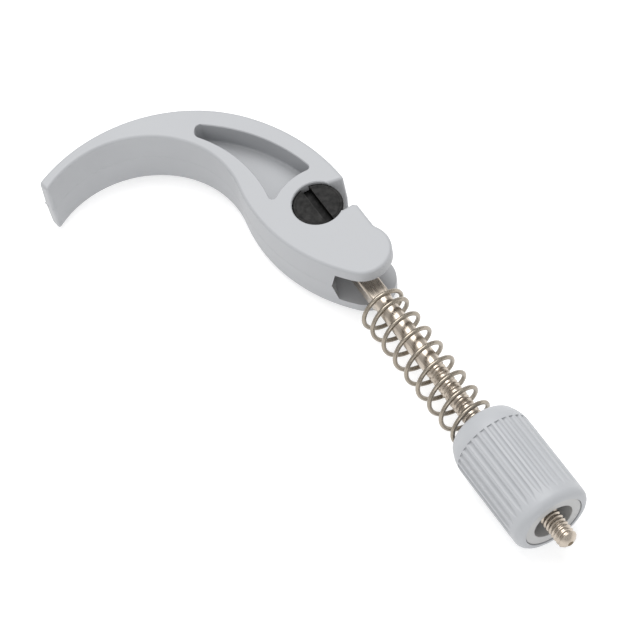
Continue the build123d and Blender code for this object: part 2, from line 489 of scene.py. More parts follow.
def new_group(name: str, setting: str, result: str) -> tuple:
    """Starts a shader node group that takes a place and one setting, and gives one value.

    Args:
        name: the group's name.
        setting: the name of its setting.
        result: the name of its value.

    Returns:
        The group, its wiring, its place, its setting and its output node.
    """
    group = bpy.data.node_groups.new(name, "ShaderNodeTree")
    for label, in_out, kind in (
        ("Vector", "INPUT", "NodeSocketVector"),
        (setting, "INPUT", "NodeSocketFloat"),
        (result, "OUTPUT", "NodeSocketFloat"),
    ):
        group.interface.new_socket(label, in_out=in_out, socket_type=kind)
    wiring = Wiring(group)
    place, value = wiring.add("NodeGroupInput").outputs[:2]
    return group, wiring, place, value, wiring.add("NodeGroupOutput")


class Effects:
    """The effects that several finishes share, each built once as a node group."""

    def __init__(self) -> None:
        """Builds every group."""
        self.grain = self.make_grain()
        self.cloud = self.make_cloud()
        self.edges = self.make_edges()
        self.drawn = self.make_drawn()

    @staticmethod
    def make_grain() -> bpy.types.NodeTree:
        """Fine skin of a moulded or blasted surface: a height made of two sizes of noise.

        Returns:
            The node group.
        """
        wide_scale, fine_share = 0.22, 0.6
        group, wiring, place, scale, end = new_group("fine_grain", "Scale", "Height")
        fine = wiring.noise(place, scale, detail=3.0)
        wide = wiring.noise(place, wiring.maths("MULTIPLY", scale, wide_scale), detail=2.0)
        both = wiring.maths("ADD", wiring.maths("MULTIPLY", fine, fine_share), wide)
        wiring.feed(end, {"Height": both})
        return group

    @staticmethod
    def make_cloud() -> bpy.types.NodeTree:
        """Slow change over a surface: a mask between 0 and 1.

        Returns:
            The node group.
        """
        group, wiring, place, scale, end = new_group("slow_cloud", "Scale", "Mask")
        noise = wiring.noise(place, scale, detail=4.0, roughness=0.55)
        wiring.feed(end, {"Mask": wiring.ramp(noise, low=0.34, high=0.66)})
        return group

    @staticmethod
    def make_edges() -> bpy.types.NodeTree:
        """Where edges are: a mask that rises as the rounded normal leaves the real one, broken up by
        noise; it places a painted highlight on the edges.

        Returns:
            The node group.
        """
        sheen_break_scale = 900.0
        group, wiring, place, radius, end = new_group("painted_edge_sheen", "Radius", "Mask")
        rounded = wiring.add("ShaderNodeBevel", {"Radius": radius}, samples=6)
        plain = wiring.add("ShaderNodeNewGeometry")
        match = wiring.vector("DOT_PRODUCT", rounded.outputs["Normal"], plain.outputs["Normal"])
        turn = wiring.maths("SUBTRACT", 1.0, match.outputs["Value"])
        noise = wiring.noise(place, sheen_break_scale, detail=3.0)
        # painted highlight: edges lighten where the noise lets them
        turned, painted_sheen = wiring.ramp(turn, low=0.004, high=0.10), wiring.ramp(noise, low=0.3, high=0.6)
        wiring.feed(end, {"Mask": wiring.maths("MULTIPLY", turned, painted_sheen)})
        return group

    @staticmethod
    def make_drawn() -> bpy.types.NodeTree:
        """Lines left along a drawn bar: noise stretched along x.

        Returns:
            The node group.
        """
        line_scale = 2600.0
        group, wiring, place, stretch, end = new_group("drawn_lines", "Stretch", "Mask")
        shape = wiring.add("ShaderNodeCombineXYZ", {0: stretch, 1: 1.0, 2: 1.0})
        pulled = wiring.vector("MULTIPLY", place, shape.outputs[0])
        noise = wiring.noise(pulled.outputs[0], line_scale, detail=3.0, roughness=0.6)
        wiring.feed(end, {"Mask": wiring.ramp(noise, low=0.3, high=0.7)})
        return group


@dataclass(frozen=True)
class Finish:
    """What every finish has: two colours that drift over it, and edges painted towards a third as a
    highlight.
    """

    name: str
    colour: COLOUR
    other: COLOUR
    smooth: float
    dull: float
    cloud_scale: float
    edge_mm: float
    edge_share: float

    def start(self, effects: Effects, edge_colour: COLOUR) -> tuple:
        """Starts a material with its drifting colour and a painted highlight on its edges.

        Args:
            effects: the shared effects.
            edge_colour: the colour that the edges move towards, a painted highlight.

        Returns:
            The material, its wiring, its Principled shader, its object coordinates, the mask
            of the drift, and the colour.
        """
        material = bpy.data.materials.new(self.name)
        material.use_nodes = True
        wiring = Wiring(material.node_tree)
        shader = next(n for n in material.node_tree.nodes if n.type == "BSDF_PRINCIPLED")
        place = wiring.add("ShaderNodeTexCoord").outputs["Object"]
        cloud = wiring.effect(effects.cloud, Vector=place, Scale=self.cloud_scale)
        edges = wiring.effect(effects.edges, Vector=place, Radius=self.edge_mm * MM)
        tone = wiring.mix(cloud, self.colour, self.other)
        # painted highlight: how much of the highlight colour the edges take
        painted_sheen = wiring.maths("MULTIPLY", edges, self.edge_share)
        return material, wiring, shader, place, cloud, wiring.mix(painted_sheen, tone, edge_colour)

    @staticmethod
    def bump(wiring: Wiring, height: SOURCE, strength: float, depth_mm: float) -> SOURCE:
        """Adds a Bump node and gives its normal."""
        inputs = {"Height": height, "Strength": strength, "Distance": depth_mm * MM}
        return wiring.add("ShaderNodeBump", inputs).outputs["Normal"]


@dataclass(frozen=True)
class MouldedPlastic(Finish):
    """Matt moulded plastic with a fine skin and slightly lighter edges, a painted highlight."""

    smooth: float = 0.40
    dull: float = 0.52
    cloud_scale: float = 60.0
    edge_mm: float = 0.5
    edge_share: float = 0.35
    # lighter colour of the edges: a painted highlight
    edge_sheen_tint: COLOUR = (0.46, 0.47, 0.48)
    grain: float = 2400.0
    grain_mm: float = 0.012

    def make(self, effects: Effects) -> bpy.types.Material:
        """Builds the material.

        Args:
            effects: the shared effects.

        Returns:
            The material.
        """
        material, wiring, shader, place, cloud, colour = self.start(effects, self.edge_sheen_tint)
        grain = wiring.effect(effects.grain, Vector=place, Scale=self.grain)
        wiring.feed(shader, {
            "Base Color": colour,
            "Roughness": wiring.between(cloud, self.smooth, self.dull),
            "Normal": self.bump(wiring, grain, strength=0.35, depth_mm=self.grain_mm),
            "IOR": 1.49,
            "Specular IOR Level": 0.4,
        })
        return material


@dataclass(frozen=True)
class DrawnMetal(Finish):
    """Drawn and plated or turned metal, with fine lines along x and bright edges painted as a
    highlight.
    """

    smooth: float = 0.20
    dull: float = 0.38
    cloud_scale: float = 240.0
    edge_mm: float = 0.25
    edge_share: float = 0.5
    edge_gain: float = 1.25
    stretch: float = 0.03
    line_mm: float = 0.006

    def make(self, effects: Effects) -> bpy.types.Material:
        """Builds the material.

        Args:
            effects: the shared effects.

        Returns:
            The material.
        """
        # edges painted brighter than the metal: a painted highlight
        highlight_colour = tuple(min(1.0, self.edge_gain * c) for c in self.colour)
        material, wiring, shader, place, _, colour = self.start(effects, highlight_colour)
        lines = wiring.effect(effects.drawn, Vector=place, Stretch=self.stretch)
        wiring.feed(shader, {
            "Base Color": colour,
            "Roughness": wiring.between(lines, self.smooth, self.dull),
            "Normal": self.bump(wiring, lines, strength=0.4, depth_mm=self.line_mm),
            "Metallic": 1.0,
        })
        return material


@dataclass(frozen=True)
class BlackOxide(Finish):
    """Blackened steel, mottled, with edges painted brighter as a highlight and painted shade that
    blackens its hollows.
    """

    smooth: float = 0.34
    dull: float = 0.55
    cloud_scale: float = 700.0
    edge_mm: float = 0.3
    edge_share: float = 0.55
    # brighter colour of the edges: a painted highlight
    edge_sheen_tint: COLOUR = (0.06, 0.058, 0.055)
    # near black colour of the painted shade in hollows
    painted_shade_tint: COLOUR = (0.001, 0.001, 0.001)
    shade_reach_mm: float = 3.0
    grain: float = 3200.0
    grain_mm: float = 0.015

    def make(self, effects: Effects) -> bpy.types.Material:
        """Builds the material.

        Args:
            effects: the shared effects.

        Returns:
            The material.
        """
        material, wiring, shader, place, mottle, colour = self.start(effects, self.edge_sheen_tint)
        grain = wiring.effect(effects.grain, Vector=place, Scale=self.grain)
        # painted shade: ambient occlusion turns the colour near black in hollows such as the
        # screwdriver slot
        shade_ao = wiring.add(
            "ShaderNodeAmbientOcclusion", {"Distance": self.shade_reach_mm * MM}, samples=8
        )
        open_to_light = wiring.maths("POWER", shade_ao.outputs["AO"], 2.0)
        wiring.feed(shader, {
            "Base Color": wiring.mix(open_to_light, self.painted_shade_tint, colour),
            "Roughness": wiring.between(mottle, self.dull, self.smooth),
            "Normal": self.bump(wiring, grain, strength=0.5, depth_mm=self.grain_mm),
            "Specular IOR Level": 0.1,
        })
        return material


LEVER_PLASTIC = MouldedPlastic("lever_plastic", (0.350, 0.357, 0.371), (0.372, 0.380, 0.394))
GRIP_PLASTIC = MouldedPlastic("grip_plastic", (0.368, 0.378, 0.395), (0.392, 0.402, 0.418))
CORE_PLASTIC = MouldedPlastic("core_plastic", (0.40, 0.402, 0.40), (0.43, 0.432, 0.43))
NICKEL_PLATE = DrawnMetal("nickel_plate", (0.50, 0.44, 0.375), (0.41, 0.36, 0.305))
SPRING_WIRE = DrawnMetal("spring_wire", (0.34, 0.30, 0.25), (0.26, 0.23, 0.19), stretch=0.4)
CUT_END = DrawnMetal(
    "cut_end", (0.16, 0.12, 0.07), (0.11, 0.08, 0.05), smooth=0.4, dull=0.6, stretch=1.0
)
BLACK_OXIDE = BlackOxide("black_oxide", (0.008, 0.008, 0.008), (0.017, 0.0165, 0.016))
TURNED_BRASS = DrawnMetal("turned_brass", (0.66, 0.48, 0.22), (0.58, 0.42, 0.19), stretch=1.0)


# ---- sub-assemblies


@dataclass
class Lever:
    """The moulded lever: hooked handle, cam nose, notch, fork and a pocket in each side."""

    back: CIRCLE = ((-11.5, -43.3), 52.5)
    shoulder: POINT = (-3.05, -55.18)
    hook: CIRCLE = ((-26.5, -48.7), 32.3)
    belly: POINT = (-8.4, 39.6)
    nose: POINT = (22.2, 2.1)
    tip_back_deg: float = 207.4
    tip_hook_deg: float = 213.6
    wall_top: POINT = (-2.8, 11.3)
    wall_foot: POINT = (-4.6, 5.0)
    notch_far_x: float = 6.2
    notch_chamfer: float = 1.2
    flat_y: float = 10.0
    nose_blend: float = 3.0
    ridge_out: float = 0.05  # how far the parting ridge stands out
    ridge_half: float = 0.12  # half its height
    ridge_round: float = 0.01
    ridge_land: float = 0.4  # share of its half height that is nearly upright
    draft: float = 0.24
    rim: float = 1.0
    rim_steps: int = 6
    corner_deg: float = 60.0  # plan corners that turn more than this are rounded like the rim
    pocket_depth: float = 8.0
    pocket_out: CIRCLE = ((-2.8, -52.7), 58.9)
    pocket_in: CIRCLE = ((-19.1, -56.4), 46.1)
    pocket_heel_deg: tuple[float, float] = (141.1, 124.4)
    pocket_end: CIRCLE = ((6.0, 1.5), 18.8)
    pocket_lip: float = 0.3
    pocket_draft: float = 0.25
    pocket_corner: float = 1.5
    pocket_heel_least_deg: float = 45.0  # upright edges that turn more than this are the heel's
    pocket_fillet: float = 0.7
    slot_h: float = 13.0
    slot_side_y: float = -4.4
    slot_groove: float = 1.6
    slot_flare_x: float = 13.0
    slot_mouth: POINT = (23.4, -8.6)
    bore_clearance: float = 0.05
    bore_lip: float = 0.3
    bore_steps: int = 128
    gate_deg: float = 149.9
    gate_r: float = 1.5
    gate_h: float = 0.35
    edge: float = 0.16

    def __post_init__(self) -> None:
        """Reads the thickness and the bore from the frame, and works out the tangent radii."""
        low, high = span("lever")
        self.half = (high.z - low.z) / 2
        dowel_low, dowel_high = span("cross_dowel")
        self.bore = (dowel_high.x - dowel_low.x) / 2 + self.bore_clearance
        self.shoulder_r = math.dist(self.shoulder, self.back[0]) + self.back[1]
        self.belly_r = math.dist(self.belly, self.hook[0]) - self.hook[1]
        self.nose_r = self.belly_r - math.dist(self.belly, self.nose)

    def outline(self, bm: bmesh.types.BMesh) -> bmesh.types.BMFace:
        """Draws the lever as seen along the pivot.

        Args:
            bm: the mesh to draw in.

        Returns:
            The filled outline, at z = 0.
        """
        back_end = towards(self.shoulder, self.back[0], self.shoulder_r)
        hook_end = towards(self.hook[0], self.belly, self.hook[1])
        nose_end = towards(self.belly, self.nose, self.belly_r)
        blend_y = self.flat_y + self.nose_blend
        reach = math.sqrt((self.nose_r + self.nose_blend) ** 2 - (blend_y - self.nose[1]) ** 2)
        blend = (self.nose[0] - reach, blend_y)
        blend_deg = bearing(blend, Vector(self.nose))
        back_deg = bearing(self.back[0], back_end)
        top_deg = bearing(self.shoulder, Vector(self.wall_top))
        pen = Pen(bm, *polar(*self.back, self.tip_back_deg))
        pen.arc(self.back[0], short_way(self.tip_back_deg, back_deg))
        pen.arc(self.shoulder, short_way(bearing(self.shoulder, back_end), top_deg))
        pen.line(*self.wall_foot)
        pen.line(self.notch_far_x, self.wall_foot[1])
        pen.line(self.notch_far_x, self.flat_y - self.notch_chamfer)
        pen.line(self.notch_far_x + self.notch_chamfer, self.flat_y)
        pen.line(blend[0], self.flat_y)
        pen.arc(blend, short_way(-90, blend_deg))
        pen.arc(self.nose, short_way(blend_deg + 180, bearing(self.nose, nose_end)))
        pen.arc(self.belly, short_way(bearing(self.belly, nose_end), bearing(self.belly, hook_end)))
        pen.arc(self.hook[0], short_way(bearing(self.hook[0], hook_end), self.tip_hook_deg))
        return pen.close()

    def blank(self) -> bpy.types.Object:
        """Makes the lever before anything is cut: drafted both ways from its parting ridge.

        Returns:
            The uncut lever.
        """
        bm = bmesh.new()
        face = self.outline(bm)
        land = self.ridge_half * self.ridge_land
        step_in(bm, face, self.ridge_round, land)
        step_in(bm, face, self.ridge_out, self.ridge_half - land)
        step_in(bm, face, self.draft, self.half - self.ridge_half)
        bmesh.ops.mirror(
            bm, geom=bm.verts[:] + bm.edges[:] + bm.faces[:], matrix=Matrix(),
            merge_dist=MERGE, axis="Z",
        )
        clean(bm)
        rims = [e for e in bm.edges if all(abs(v.co.z) > self.half - MERGE for v in e.verts)]
        bevel_edges(bm, rims + upright_corners(bm, self.corner_deg), self.rim, self.rim_steps)
        clean(bm)
        return solid("lever_handle", bm)

    def bore_tool(self) -> bpy.types.Object:
        """Makes the cutter of the pivot bore, which opens a little at both faces.

        Returns:
            The cutter.
        """
        over = 2.0
        far, lip = self.half + over, self.half - self.bore_lip
        wide = self.bore + self.bore_lip
        bm = lathe([
            Corner(-far, 0), Corner(-far, wide + over), Corner(-self.half, wide),
            Corner(-lip, self.bore), Corner(lip, self.bore), Corner(self.half, wide),
            Corner(far, wide + over), Corner(far, 0),
        ], self.bore_steps)
        bmesh.ops.transform(bm, matrix=Z_TO_X.inverted(), verts=bm.verts[:])
        return solid("bore_tool", bm)

    def slot_tool(self) -> bpy.types.Object:
        """Makes the cutter of the gap between the cheeks, with a V along its closed side.

        Returns:
            The cutter.
        """
        bm = bmesh.new()
        half, side = self.slot_h / 2, self.slot_side_y
        far = 2 * self.nose_r + self.nose[0]
        pen = Pen(bm, -half, side)
        pen.line(0, side - self.slot_groove).line(half, side).line(half, far).line(-half, far)
        pen.close()
        # the section is drawn with x for z, and is stood up across the rod
        bmesh.ops.rotate(
            bm, verts=bm.verts[:], cent=(0, 0, 0), matrix=Matrix.Rotation(-math.pi / 2, 3, "Y")
        )
        past_mouth = 3
        flare = Vector(self.slot_mouth) - Vector((self.slot_flare_x, side))
        for move in (Vector((self.slot_flare_x, 0, 0)), Vector((*flare, 0)) * past_mouth):
            last = max(bm.faces, key=lambda f: f.calc_center_median().x)
            made = bmesh.ops.extrude_face_region(bm, geom=[last])
            verts = [g for g in made["geom"] if isinstance(g, bmesh.types.BMVert)]
            bmesh.ops.translate(bm, verts=verts, vec=move)
            if last.is_valid and move.y:
                bmesh.ops.delete(bm, geom=[last], context="FACES_ONLY")
        clean(bm)
        return solid("slot_tool", bm)

    def pocket_tool(self, side: int) -> bpy.types.Object:
        """Makes the cutter of one pocket.

        Args:
            side: 1 for the upper face and -1 for the lower one.

        Returns:
            The cutter.
        """
        over, skim, inset = 1.0, 0.02, 0.001
        bm = bmesh.new()
        lip = self.pocket_lip
        (out, out_r), (inner, inner_r) = self.pocket_out, self.pocket_in
        end, end_r = self.pocket_end
        out_r, inner_r, end_r = out_r + lip, inner_r - lip, end_r - lip
        corner = self.pocket_corner
        upper = crossing(end, end_r + corner, out, out_r - corner)
        lower = crossing(end, end_r + corner, inner, inner_r + corner)
        out_heel, in_heel = self.pocket_heel_deg
        on_out, on_end = bearing(out, upper), bearing(end, upper)
        off_end, on_inner = bearing(end, lower), bearing(inner, lower)
        pen = Pen(bm, *polar(out, out_r, out_heel), self.half + over)
        pen.arc(out, short_way(out_heel, on_out))
        pen.arc(upper, short_way(on_out, on_end + 180))
        pen.arc(end, short_way(on_end, off_end))
        pen.arc(lower, short_way(off_end + 180, on_inner + 180))
        pen.arc(inner, short_way(on_inner, in_heel))
        face = pen.close()
        bmesh.ops.duplicate(bm, geom=[face])
        step_in(bm, face, inset, skim - over)
        step_in(bm, face, lip, -lip)
        step_in(bm, face, self.pocket_draft, lip - self.pocket_depth - skim)
        clean(bm)
        bevel_edges(bm, upright_corners(bm, self.pocket_heel_least_deg), corner, 5)
        floor = self.half - self.pocket_depth
        low = [e for e in bm.edges if all(abs(v.co.z - floor) < MERGE for v in e.verts)]
        bevel_edges(bm, low, self.pocket_fillet, 4)
        bmesh.ops.scale(bm, vec=(1, 1, side), verts=bm.verts[:])
        clean(bm)
        return solid("pocket_tool", bm)

    def gate_stub(self) -> bpy.types.Object:
        """Makes the low stub that the moulding gate leaves on the back.

        Returns:
            The stub.
        """
        bm = bmesh.new()
        at = polar(*self.back, self.gate_deg)
        turn = Matrix.Rotation(math.radians(self.gate_deg), 4, "Z")
        size = Matrix.Diagonal((self.gate_h, self.gate_r, self.gate_r, 1))
        place = Matrix.Translation((at.x, at.y, 0)) @ turn @ size
        bmesh.ops.create_uvsphere(bm, u_segments=32, v_segments=16, radius=1.0, matrix=place)
        return solid("gate_stub", bm)

    def build(self, plastic: bpy.types.Material) -> None:
        """Builds the lever and sets it on its body.

        Args:
            plastic: the piece's finish.
        """
        piece = self.blank()
        combine(piece, self.gate_stub(), Join.ADD)
        combine(piece, self.bore_tool(), Join.CUT)
        combine(piece, self.slot_tool(), Join.CUT)
        for side in (1, -1):
            combine(piece, self.pocket_tool(side), Join.CUT)
        soften(piece, self.edge)
        paint(piece, plastic)
        set_down(piece, "lever", Body.LEVER)


@dataclass
class Dowel:
    """The blackened cross dowel with its screwdriver slot and the rod's cross hole."""

    edge: float = 0.5
    ring_r: float = 6.7
    ring_depth: float = 0.09
    ring_w: float = 0.16
    drive_w: float = 2.7
    drive_depth: float = 2.4
    hole_r: float = 3.0
    break_edge: float = 0.1
    steps: int = 128
    hole_steps: int = 48

    def build(self, oxide: bpy.types.Material) -> None:
        """Builds the dowel and sets it on its body.

        Args:
            oxide: the piece's finish.
        """
        low, high = span("cross_dowel")
        radius, half = (high.x - low.x) / 2, (high.z - low.z) / 2
        face_line = [
            Corner(half, 0), Corner(half, self.ring_r - self.ring_w),
            Corner(half - self.ring_depth, self.ring_r), Corner(half, self.ring_r + self.ring_w),
            Corner(half, radius, self.edge),
        ]
        bm = lathe([*face_line, Corner(-half, radius, self.edge), Corner(-half, 0)], self.steps)
        bmesh.ops.transform(bm, matrix=Z_TO_X.inverted(), verts=bm.verts[:])
        piece = solid("pivot_dowel", bm)
        combine(piece, self.drive_tool(radius, half), Join.CUT)
        combine(piece, self.hole_tool(radius), Join.CUT)
        soften(piece, self.break_edge)
        paint(piece, oxide)
        set_down(piece, "cross_dowel", Body.ROD)

    def drive_tool(self, radius: float, half: float) -> bpy.types.Object:
        """Makes the cutter of the screwdriver slot.

        Args:
            radius: the radius.
            half: half the dowel's length.

        Returns:
            The cutter.
        """
        bm = bmesh.new()
        size = Matrix.Diagonal((3 * radius, self.drive_w, 2 * self.drive_depth, 1))
        bmesh.ops.create_cube(bm, size=1.0, matrix=Matrix.Translation((0, 0, half)) @ size)
        return solid("drive_tool", bm)

    def hole_tool(self, radius: float) -> bpy.types.Object:
        """Makes the cutter of the rod's cross hole.

        Args:
            radius: the radius.

        Returns:
            The cutter.
        """
        far = 2 * radius
        line = ((-far, 0), (-far, self.hole_r), (far, self.hole_r), (far, 0))
        return solid("hole_tool", lathe((Corner(*at) for at in line), self.hole_steps))


@dataclass
class Rod:
    """The plated rod: stud, square neck, plain shank, rolled thread and coned end."""

    stud_r: float = 2.95
    neck_w: float = 6.1
    neck_edge: float = 0.75
    neck_start: float = 8.2
    neck_end: float = 35.4
    shank_start: float = 36.3
    shank_r: float = 3.175
    thread_start: float = 64.5
    thread_end: float = 133.3
    pitch: float = 1.27
    crest_r: float = 3.08
    root_r: float = 2.6
    crest_share: float = 0.14  # widths of crest and root over the pitch
    root_share: float = 0.22
    stud_chamfer: float = 0.4
    run_out: float = 0.25  # length of the cone between the shank, or the tip, and the thread
    run_out_drop: float = 0.2
    steps: int = 60
    cone_r: float = 3.0
    dome_r: float = 2.2
    dome_length: float = 0.6
    tip_r: float = 0.95
    tip_round: POINT = (0.1, 0.15)  # along the rod and across it
    sharp_deg: float = 25.0

    def thread(self, bm: bmesh.types.BMesh) -> None:
        """Adds the thread: a toothed line turned once while it advances by one pitch.

        Args:
            bm: the mesh to add to.
        """
        spare, lead_in = 2, 1.5  # turns past the stations, where the thread is cut off
        turns = math.ceil((self.thread_end - self.thread_start) / self.pitch) + spare
        start = self.thread_start - lead_in * self.pitch
        flank = (1 - self.crest_share - self.root_share) / 2
        stops = (0, flank, flank + self.crest_share, 1 - self.root_share)
        radii = (self.root_r, self.crest_r, self.crest_r, self.root_r)
        pen = Pen(bm, start, self.root_r)
        for turn in range(turns):
            for stop, radius in zip(stops, radii, strict=True):
                if turn or stop:
                    pen.line(start + (turn + stop) * self.pitch, radius)
        bmesh.ops.spin(
            bm, geom=bm.verts[:] + bm.edges[:], cent=(0, 0, 0), axis=(1, 0, 0),
            dvec=(self.pitch / self.steps, 0, 0), angle=2 * math.pi, steps=self.steps,
            use_merge=False, use_duplicate=False,
        )
        bmesh.ops.remove_doubles(bm, verts=bm.verts[:], dist=MERGE * 10)
        for station, facing in ((self.thread_start, -1), (self.thread_end, 1)):
            bmesh.ops.bisect_plane(
                bm, geom=bm.verts[:] + bm.edges[:] + bm.faces[:], dist=MERGE,
                plane_co=(station, 0, 0), plane_no=(facing, 0, 0), clear_outer=True,
            )

    def ring(self, bm: bmesh.types.BMesh, x: float, radius: float) -> list[bmesh.types.BMEdge]:
        """Adds a circle round the rod and gives its edges.

        Args:
            bm: the mesh to add to.
            x: the point's x.
            radius: the radius.

        Returns:
            The circle's edges.
        """
        place = Matrix.Translation((x, 0, 0)) @ Z_TO_X
        made = bmesh.ops.create_circle(bm, segments=self.steps, radius=radius, matrix=place)
        return list({e for v in made["verts"] for e in v.link_edges})

    def square(self, bm: bmesh.types.BMesh, x: float) -> list[bmesh.types.BMEdge]:
        """Adds the neck's rounded square and gives its edges.

        Args:
            bm: the mesh to add to.
            x: the point's x.

        Returns:
            The square's edges.
        """
        turn = Matrix.Rotation(math.pi / 4, 4, "X")
        place = Matrix.Translation((x, 0, 0)) @ turn @ Z_TO_X
        made = bmesh.ops.create_circle(
            bm, cap_ends=True, segments=4, radius=self.neck_w / math.sqrt(2), matrix=place
        )
        rounded = bmesh.ops.bevel(
            bm, geom=made["verts"], offset=self.neck_edge, segments=5, profile=0.5,
            affect="VERTICES", material=-1,
        )
        edges = list({e for v in rounded["verts"] for e in v.link_edges})
        faces = list({f for e in edges for f in e.link_faces})
        bmesh.ops.delete(bm, geom=faces, context="FACES_ONLY")
        return edges

    def build(self, plate: bpy.types.Material, cut_end: bpy.types.Material) -> None:
        """Builds the rod and sets it on its body.

        Args:
            plate: the plated finish.
            cut_end: the darker finish of the cropped end.
        """
        low, high = span("threaded_rod")
        bm = bmesh.new()
        self.thread(bm)
        open_edges = [e for e in bm.edges if e.is_boundary]
        middle = (self.thread_start + self.thread_end) / 2
        near = [e for e in open_edges if e.verts[0].co.x < middle]
        far = [e for e in open_edges if e.verts[0].co.x > middle]
        before = [
            self.ring(bm, low.x, self.stud_r - self.stud_chamfer),
            self.ring(bm, low.x + self.stud_chamfer, self.stud_r),
            self.ring(bm, self.neck_start, self.stud_r),
            self.square(bm, self.neck_start),
            self.square(bm, self.neck_end),
            self.ring(bm, self.shank_start, self.shank_r),
            self.ring(bm, self.thread_start - self.run_out, self.shank_r),
            self.ring(bm, self.thread_start, self.shank_r - self.run_out_drop),
            near,
        ]
        after = [
            far,
            self.ring(bm, self.thread_end + self.run_out, self.cone_r),
            self.ring(bm, high.x - self.dome_length, self.dome_r),
            self.ring(bm, high.x - self.tip_round[0], self.tip_r + self.tip_round[1]),
            self.ring(bm, high.x, self.tip_r),
        ]
        for chain in (before, after):
            for one, next_one in pairwise(chain):
                bmesh.ops.bridge_loops(bm, edges=one + next_one)
        bmesh.ops.holes_fill(bm, edges=before[0] + after[-1], sides=0)
        clean(bm)
        for face in bm.faces:
            if face.calc_center_median().x > high.x - MERGE:
                face.material_index = 1
        piece = solid("threaded_rod_plated", bm)
        piece.data.materials.append(plate)
        piece.data.materials.append(cut_end)
        set_down(piece, "threaded_rod", Body.ROD, self.sharp_deg)


@dataclass
class Spring:
    """The compression spring: a centre line wound round the rod, with round wire along it."""

    wire_d: float = 1.4
    mean_r: float = 7.1
    closed_pitch: float = 2.8
    closed_turns: float = 1.0
    turns: float = 8.75
    start_deg: float = -43.0
    hang: POINT = (-1.0, -1.0)  # how far the loose coil hangs off the rod's axis, in y and z
    slack: float = 0.6  # gap between the last coil and the nut
    steps: int = 40
    sides: int = 14

    def wind(self, bm: bmesh.types.BMesh, start_x: float, end_x: float) -> None:
        """Winds the centre line between two stations.

        Args:
            bm: the mesh to add to.
            start_x: where the line starts.
            end_x: where it ends.
        """
        turn = math.radians(self.start_deg)
        tip = bm.verts.new((
            start_x,
            self.hang[0] + self.mean_r * math.cos(turn),
            self.hang[1] + self.mean_r * math.sin(turn),
        ))
        open_turns = self.turns - self.closed_turns
        open_pitch = (end_x - start_x - self.closed_pitch * self.closed_turns) / open_turns
        for turns, pitch in ((self.closed_turns, self.closed_pitch), (open_turns, open_pitch)):
            steps = round(self.steps * turns)
            made = bmesh.ops.spin(
                bm, geom=[tip], cent=(0, *self.hang), axis=(1, 0, 0),
                dvec=(pitch * turns / steps, 0, 0), angle=2 * math.pi * turns, steps=steps,
                use_merge=False, use_duplicate=False,
            )
            tip = next(g for g in made["geom_last"] if isinstance(g, bmesh.types.BMVert))

    def wire_nodes(self, metal: bpy.types.Material) -> bpy.types.NodeTree:
        """Makes the node tree that puts round wire along a line.

        Args:
            metal: the piece's finish.

        Returns:
            The node tree.
        """
        tree = bpy.data.node_groups.new("round_wire", "GeometryNodeTree")
        for in_out in ("INPUT", "OUTPUT"):
            tree.interface.new_socket("Geometry", in_out=in_out, socket_type="NodeSocketGeometry")
        wiring = Wiring(tree)
        line = wiring.add("GeometryNodeMeshToCurve", {"Mesh": wiring.add("NodeGroupInput").outputs[0]})
        section = wiring.add(
            "GeometryNodeCurvePrimitiveCircle",
            {"Resolution": self.sides, "Radius": self.wire_d / 2 * MM},
        )
        tube = wiring.add("GeometryNodeCurveToMesh", {
            "Curve": line.outputs["Curve"],
            "Profile Curve": section.outputs["Curve"],
            "Fill Caps": True,
        })
        smooth = wiring.add("GeometryNodeSetShadeSmooth", {"Geometry": tube.outputs["Mesh"]})
        dressed = wiring.add(
            "GeometryNodeSetMaterial", {"Geometry": smooth.outputs["Geometry"], "Material": metal}
        )
        wiring.add("NodeGroupOutput", {0: dressed.outputs["Geometry"]})
        return tree

    def build(self, metal: bpy.types.Material) -> None:
        """Builds the spring between the lever's end and the nut.

        Args:
            metal: the piece's finish.
        """
        low, high = span("compression_spring")
        bm = bmesh.new()
        start, end = low.x + self.wire_d / 2, high.x - self.wire_d / 2
        self.wind(bm, start, end - self.slack)
        piece = solid("coil_spring", bm)
        piece.data.transform(Matrix.Translation(PIVOT) @ Matrix.Scale(MM, 4))
        piece.data.materials.append(metal)
        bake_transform(piece)
        wire = piece.modifiers.new("wire", "NODES")
        wire.node_group = self.wire_nodes(metal)
        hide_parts("compression_spring")
        LOG.info("%s: %.2f turns between rod and spring", piece.name, self.turns)


